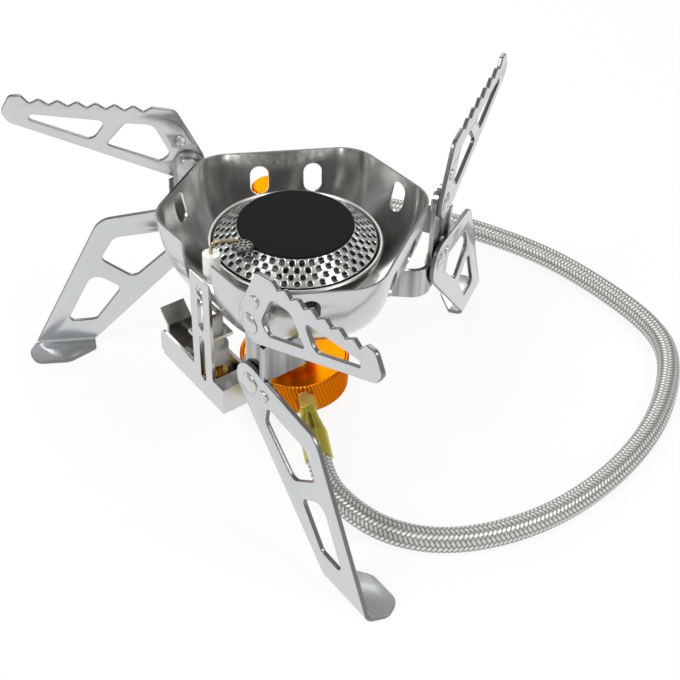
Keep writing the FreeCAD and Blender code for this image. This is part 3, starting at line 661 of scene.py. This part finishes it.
def emboss(shape, middle):
    """Pressed dimple that fills its round opening: a dome outside, hollow inside."""
    for side in (-1, 1):
        rings = []
        for ring in range(DIMPLE_RINGS):
            slope = math.pi / 2 * ring / DIMPLE_RINGS
            height = side * PLATE_THICK / 2 + DIMPLE_HIGH * math.sin(slope)
            outline = circle(middle, DIMPLE_R * math.cos(slope))
            rings.append([shape.verts.new((*place, height)) for place in outline])
        top = shape.verts.new((*(MM * Vector(middle)), side * PLATE_THICK / 2 + DIMPLE_HIGH))
        for k in range(CIRCLE_SIDES):
            after = (k + 1) % CIRCLE_SIDES
            for low, high in zip(rings, rings[1:]):
                shape.faces.new((low[k], low[after], high[after], high[k])[::side]).smooth = True
            shape.faces.new((rings[-1][k], rings[-1][after], top)[::side]).smooth = True


def fold_foot(shape):
    """Folds what lies below the bend inward, so that the foot lies flat on the floor."""
    bend = PLATE_THICK / 2 + FOOT_BEND_R
    quarter = math.pi / 2 * FOOT_BEND_R
    for cut in range(FOOT_BEND_CUTS + 1):
        everything = shape.verts[:] + shape.edges[:] + shape.faces[:]
        level = (0, bend - quarter * cut / FOOT_BEND_CUTS, 0)
        bmesh.ops.bisect_plane(shape, geom=everything, plane_co=level, plane_no=(0, 1, 0))
    for face in shape.faces:
        if 0 < bend - face.calc_center_median().y < quarter:
            face.smooth = True
    for vertex in shape.verts:
        beyond = bend - vertex.co.y
        if beyond <= 0:
            continue
        turn = min(beyond, quarter) / FOOT_BEND_R
        reach = FOOT_BEND_R + vertex.co.z
        depth = FOOT_BEND_R - reach * math.cos(turn) + max(beyond - quarter, 0)
        vertex.co.y = bend - reach * math.sin(turn)
        vertex.co.z = -depth


def make_plate(name, node, body, outlines, dimple, bearing, materials, has_foot):
    """Plate of one arm or leg, stood up at the bearing of its pair."""
    mesh = flat_plate(name, outlines)
    shape = bmesh.new()
    shape.from_mesh(mesh)
    shape.normal_update()
    for face in shape.faces:
        is_edge = abs(face.normal.z) < FLAT_LIMIT
        face.smooth = is_edge
        face.material_index = 1 if is_edge else 0
    emboss(shape, dimple)
    bmesh.ops.remove_doubles(shape, verts=shape.verts, dist=MERGE_DISTANCE)
    shape.normal_update()
    if has_foot:
        fold_foot(shape)
    upright = Matrix(((1, 0, 0, 0), (0, 0, -1, -PLATE_MIDDLE), (0, 1, 0, 0), (0, 0, 0, 1)))
    shape.transform(Matrix.Rotation(math.radians(bearing), 4, "Z") @ upright)
    mesh.materials.clear()
    for material in materials:
        mesh.materials.append(material)
    shape.to_mesh(mesh)
    shape.free()
    mesh.set_sharp_from_angle(angle=math.radians(SHARP_ANGLE))
    plate = add_object(name, mesh)
    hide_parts(node)
    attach(plate, body)


def make_plates():
    face = sheet_metal("plate_steel", (0.645, 0.66, 0.675), 0.25, 300.0, (1, 1, 0.3), 0.006)
    # The cut edges take a dark colour: painted shade for the dark overhead that they reflect, on their own
    # rougher cut finish
    cut = sheet_metal("plate_edge", (0.24, 0.24, 0.235), 0.3, 700.0, depth=0.02)
    arm_outline = (ARM_ROOT, *ARM_TIP, *serrated_edge(), ARM_KNEE)
    leg_outline = (LEG_ROOT, *LEG_FOOT, LEG_KNEE)
    arm = [rounded(c) for c in (arm_outline, ARM_INNER_WINDOW, ARM_OUTER_WINDOW)]
    arm += [circle(ARM_RIVET, RIVET_HOLE_R), circle(ARM_DIMPLE, DIMPLE_R)]
    leg = [rounded(c) for c in (leg_outline, LEG_UPPER_WINDOW, LEG_LOWER_WINDOW)]
    leg += [circle(LEG_RIVET, RIVET_HOLE_R), circle(LEG_DIMPLE, DIMPLE_R)]
    finish = (face, cut)
    for n, bearing in enumerate(PAIR_BEARINGS, 1):
        arm_names = ("arm_plate_%d" % n, "pot_arm_%d" % n, "arm_%d" % n)
        leg_names = ("leg_plate_%d" % n, "folding_leg_%d" % n, "leg_%d" % n)
        make_plate(*arm_names, arm, ARM_DIMPLE, bearing, finish, False)
        make_plate(*leg_names, leg, LEG_DIMPLE, bearing, finish, True)


# Rivets

def rivet_profile():
    """Points (radius, distance along the axis) of a rivet: inner head, shaft and domed outer head."""
    ball = (RIVET_HEAD_R ** 2 + RIVET_HEAD_HIGH ** 2) / (2 * RIVET_HEAD_HIGH)
    middle = RIVET_SEAT + RIVET_HEAD_HIGH - ball
    widest = math.asin(RIVET_HEAD_R / ball)
    inner = ((0, RIVET_INNER_FROM), (RIVET_INNER_R, RIVET_INNER_FROM), (RIVET_INNER_R, RIVET_INNER_TO))
    shaft = ((RIVET_SHAFT_R, RIVET_INNER_TO), (RIVET_SHAFT_R, RIVET_SEAT))
    dome = []
    for step in range(RIVET_DOME_STEPS + 1):
        slope = widest * (1 - step / RIVET_DOME_STEPS)
        dome.append((ball * math.sin(slope), middle + ball * math.cos(slope)))
    return (*inner, *shaft, *dome)


def make_rivet_set(name, node, place, material):
    """Rivets of the three arms or legs, each spun about its own axis."""
    u, z = place
    shape = bmesh.new()
    for bearing in PAIR_BEARINGS:
        turn = Matrix.Rotation(math.radians(bearing), 4, "Z")
        line = []
        for radius, out in rivet_profile():
            line.append(shape.verts.new(turn @ (MM * Vector((u + radius, -out, z)))))
        edges = [shape.edges.new(pair) for pair in zip(line, line[1:])]
        centre = turn @ (MM * Vector((u, 0, z)))
        axis = turn @ Vector((0, 1, 0))
        bmesh.ops.spin(shape, geom=line + edges, cent=centre, axis=axis, angle=2 * math.pi,
                       steps=RIVET_SIDES, use_merge=True)
    bmesh.ops.remove_doubles(shape, verts=shape.verts, dist=MERGE_DISTANCE)
    bmesh.ops.recalc_face_normals(shape, faces=shape.faces)
    for face in shape.faces:
        face.smooth = True
    mesh = bpy.data.meshes.new(name)
    shape.to_mesh(mesh)
    shape.free()
    mesh.set_sharp_from_angle(angle=math.radians(SHARP_ANGLE))
    mesh.materials.append(material)
    rivets = add_object(name, mesh)
    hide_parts(node)
    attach(rivets, "stove")


def make_rivets():
    steel = sheet_metal("rivet_steel", (0.68, 0.675, 0.67), 0.15, 500.0, depth=0.01)
    make_rivet_set("arm_rivet_set", "arm_rivets", ARM_RIVET, steel)
    make_rivet_set("leg_rivet_set", "leg_rivets", LEG_RIVET, steel)
    paint(steel, "lever_pin")


# Finishes of the solids

def dress_bowl():
    steel = sheet_metal("bowl_steel", (0.63, 0.635, 0.63), 0.17, 260.0, depth=0.006, edge=0.05 * MM,
                        metal=0.9)
    streak_inside(steel)
    paint_rim_shade(steel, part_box("windshield_bowl")[1].z - BOWL_RIM_HIGH)
    paint(steel, "windshield_bowl")


def dress_brackets():
    steel = sheet_metal("bracket_steel", (0.56, 0.56, 0.55), 0.13, 300.0, depth=0.006,
                        clouds=420.0, cloud_stretch=(1, 1, 0.03), cloud_dark=0.4, cloud_range=(0.3, 0.68))
    paint(steel, "leg_bracket_1", "leg_bracket_2", "leg_bracket_3")


def dress_burner():
    pan = sheet_metal("pan_steel", (0.36, 0.355, 0.34), 0.32, 400.0, depth=0.01, edge=0.12 * MM)
    target = sheet_metal("target_steel", (0.12, 0.118, 0.112), 0.3, 400.0, depth=0.02, edge=0.1 * MM)
    tube = sheet_metal("tube_steel", (0.34, 0.335, 0.32), 0.2, 400.0, (1, 1, 0.2), 0.01)
    black = coated("cap_black", (0.0125, 0.0115, 0.012), 0.5, grain=1500.0, shine=0.02)
    paint(perforated("screen_steel", (0.72, 0.715, 0.70), 0.2), "flame_screen")
    paint(pan, "burner_pan")
    paint(target, "spark_target")
    paint(tube, "mixer_tube")
    paint(black, "burner_cap")


def dress_igniter():
    paint(sheet_metal("igniter_steel", (0.66, 0.655, 0.65), 0.2, 400.0, depth=0.008), "igniter_bracket")
    paint(sheet_metal("lever_steel", (0.34, 0.335, 0.31), 0.22, 400.0, depth=0.008), "igniter_lever")
    paint(coated("piezo_plastic", (0.62, 0.61, 0.57), 0.35, depth=0.02), "piezo_body")
    paint(coated("ceramic_white", (0.86, 0.85, 0.80), 0.3, depth=0.02), "electrode_ceramic")


def dress_fittings():
    brass = sheet_metal("brass", (0.70, 0.46, 0.12), 0.22, 500.0, depth=0.01)
    olive = sheet_metal("ferrule_olive", (0.52, 0.45, 0.07), 0.24, 400.0, depth=0.01)
    paint(brass, "inlet_nut", "jet_holder", "valve_body", "piezo_plunger")
    paint(olive, "hose_ferrule", "valve_ferrule")
    paint(coated("seal_rubber", (0.025, 0.025, 0.025), 0.6), "collar_seal")


def dress_orange_parts():
    low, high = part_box("canister_collar")
    middle = (low + high) / 2
    collar_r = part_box("air_collar")[1].x
    canister_r = high.x - middle.x
    knob_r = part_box("valve_knob")[1].x - middle.x
    collar = knurled("collar_orange", ORANGE, ORANGE_ROUGH, (0, 0), COLLAR_KNURLS, collar_r)
    canister = knurled("canister_orange", ORANGE, ORANGE_ROUGH, middle, CANISTER_KNURLS, canister_r)
    knob = knurled("knob_orange", ORANGE, ORANGE_ROUGH, middle, KNOB_KNURLS, knob_r)
    paint(collar, "air_collar")
    paint(canister, "canister_collar")
    paint(knob, "valve_knob")


# Stage

def make_floor():
    """Pale floor that glows in what the camera and the metal see of it."""
    bpy.ops.mesh.primitive_plane_add(size=FLOOR_SIZE, location=(0, 0, FLOOR_LEVEL))
    floor = bpy.context.object
    floor.name = "floor"
    material, tree, shader = new_material("floor")
    shader.inputs["Base Color"].default_value = (0.93, 0.93, 0.93, 1)
    shader.inputs["Roughness"].default_value = 0.9
    glow = tree.nodes.new("ShaderNodeEmission")
    glow.inputs["Strength"].default_value = 1.0
    rays = tree.nodes.new("ShaderNodeLightPath")
    seen = math_node(tree, "MAXIMUM", rays.outputs["Is Camera Ray"], rays.outputs["Is Glossy Ray"])
    seen = math_node(tree, "MAXIMUM", seen, rays.outputs["Is Transmission Ray"])
    mix = tree.nodes.new("ShaderNodeMixShader")
    tree.links.new(math_node(tree, "MULTIPLY", seen, FLOOR_GLOW), mix.inputs[0])
    tree.links.new(shader.outputs[0], mix.inputs[1])
    tree.links.new(glow.outputs[0], mix.inputs[2])
    tree.links.new(mix.outputs[0], tree.nodes["Material Output"].inputs["Surface"])
    floor.data.materials.append(material)


def make_world():
    """Soft studio: bright near the horizon, darker overhead, so that polished metal has contrast."""
    world = bpy.data.worlds.new("studio")
    bpy.context.scene.world = world
    world.use_nodes = True
    tree = world.node_tree
    place = tree.nodes.new("ShaderNodeTexCoord")
    height = split_vector(tree, place.outputs["Generated"])["Z"]
    ramp = tree.nodes.new("ShaderNodeValToRGB")
    stops = ramp.color_ramp.elements
    stops[0].position = 0.0
    stops[0].color = (0.85, 0.85, 0.86, 1)
    stops[1].position = 1.0
    stops[1].color = (0.46, 0.46, 0.43, 1)
    middle = stops.new(0.45)
    middle.color = (0.75, 0.75, 0.76, 1)
    tree.links.new(height, ramp.inputs["Fac"])
    tree.links.new(ramp.outputs["Color"], tree.nodes["Background"].inputs["Color"])
    tree.nodes["Background"].inputs["Strength"].default_value = 0.75


def softbox(name, place, size, power):
    """Square light that faces the stove."""
    light = bpy.data.lights.new(name, "AREA")
    light.energy = power
    light.size = size
    holder = add_object(name, light)
    holder.location = place
    holder.rotation_euler = (Vector(LIGHT_TARGET) - Vector(place)).to_track_quat("-Z", "Y").to_euler()


def make_lights():
    softbox("key", (-0.58, -0.34, 0.8), 0.4, 5.0)
    softbox("fill", (0.52, -0.36, 0.8), 0.35, 2.8)
    softbox("back", (0.1, 0.8, 0.6), 0.5, 2.0)


def make_camera():
    camera = bpy.data.cameras.new("camera")
    camera.lens = CAMERA_LENS
    camera.clip_start = 0.01
    holder = add_object("camera", camera)
    yaw, pitch, roll = (math.radians(a) for a in (CAMERA_YAW, CAMERA_PITCH, CAMERA_ROLL))
    forward = Vector((math.sin(yaw) * math.cos(pitch), math.cos(yaw) * math.cos(pitch), -math.sin(pitch)))
    level = Vector((math.cos(yaw), -math.sin(yaw), 0))
    above = level.cross(forward)
    right = level * math.cos(roll) + above * math.sin(roll)
    up = above * math.cos(roll) - level * math.sin(roll)
    turn = Matrix.Rotation(math.radians(CAMERA_BEARING + 90), 3, "Z")
    axes = turn @ Matrix((right, up, -forward)).transposed()
    place = turn @ Vector((0, -CAMERA_DISTANCE, CAMERA_HEIGHT))
    holder.matrix_world = Matrix.Translation(place) @ axes.to_4x4()
    bpy.context.scene.camera = holder


def main():
    make_hose()
    make_wire()
    make_plates()
    make_rivets()
    dress_bowl()
    dress_brackets()
    dress_burner()
    dress_igniter()
    dress_fittings()
    dress_orange_parts()
    make_floor()
    make_world()
    make_lights()
    make_camera()
    bpy.context.scene.view_settings.view_transform = "Standard"


main()
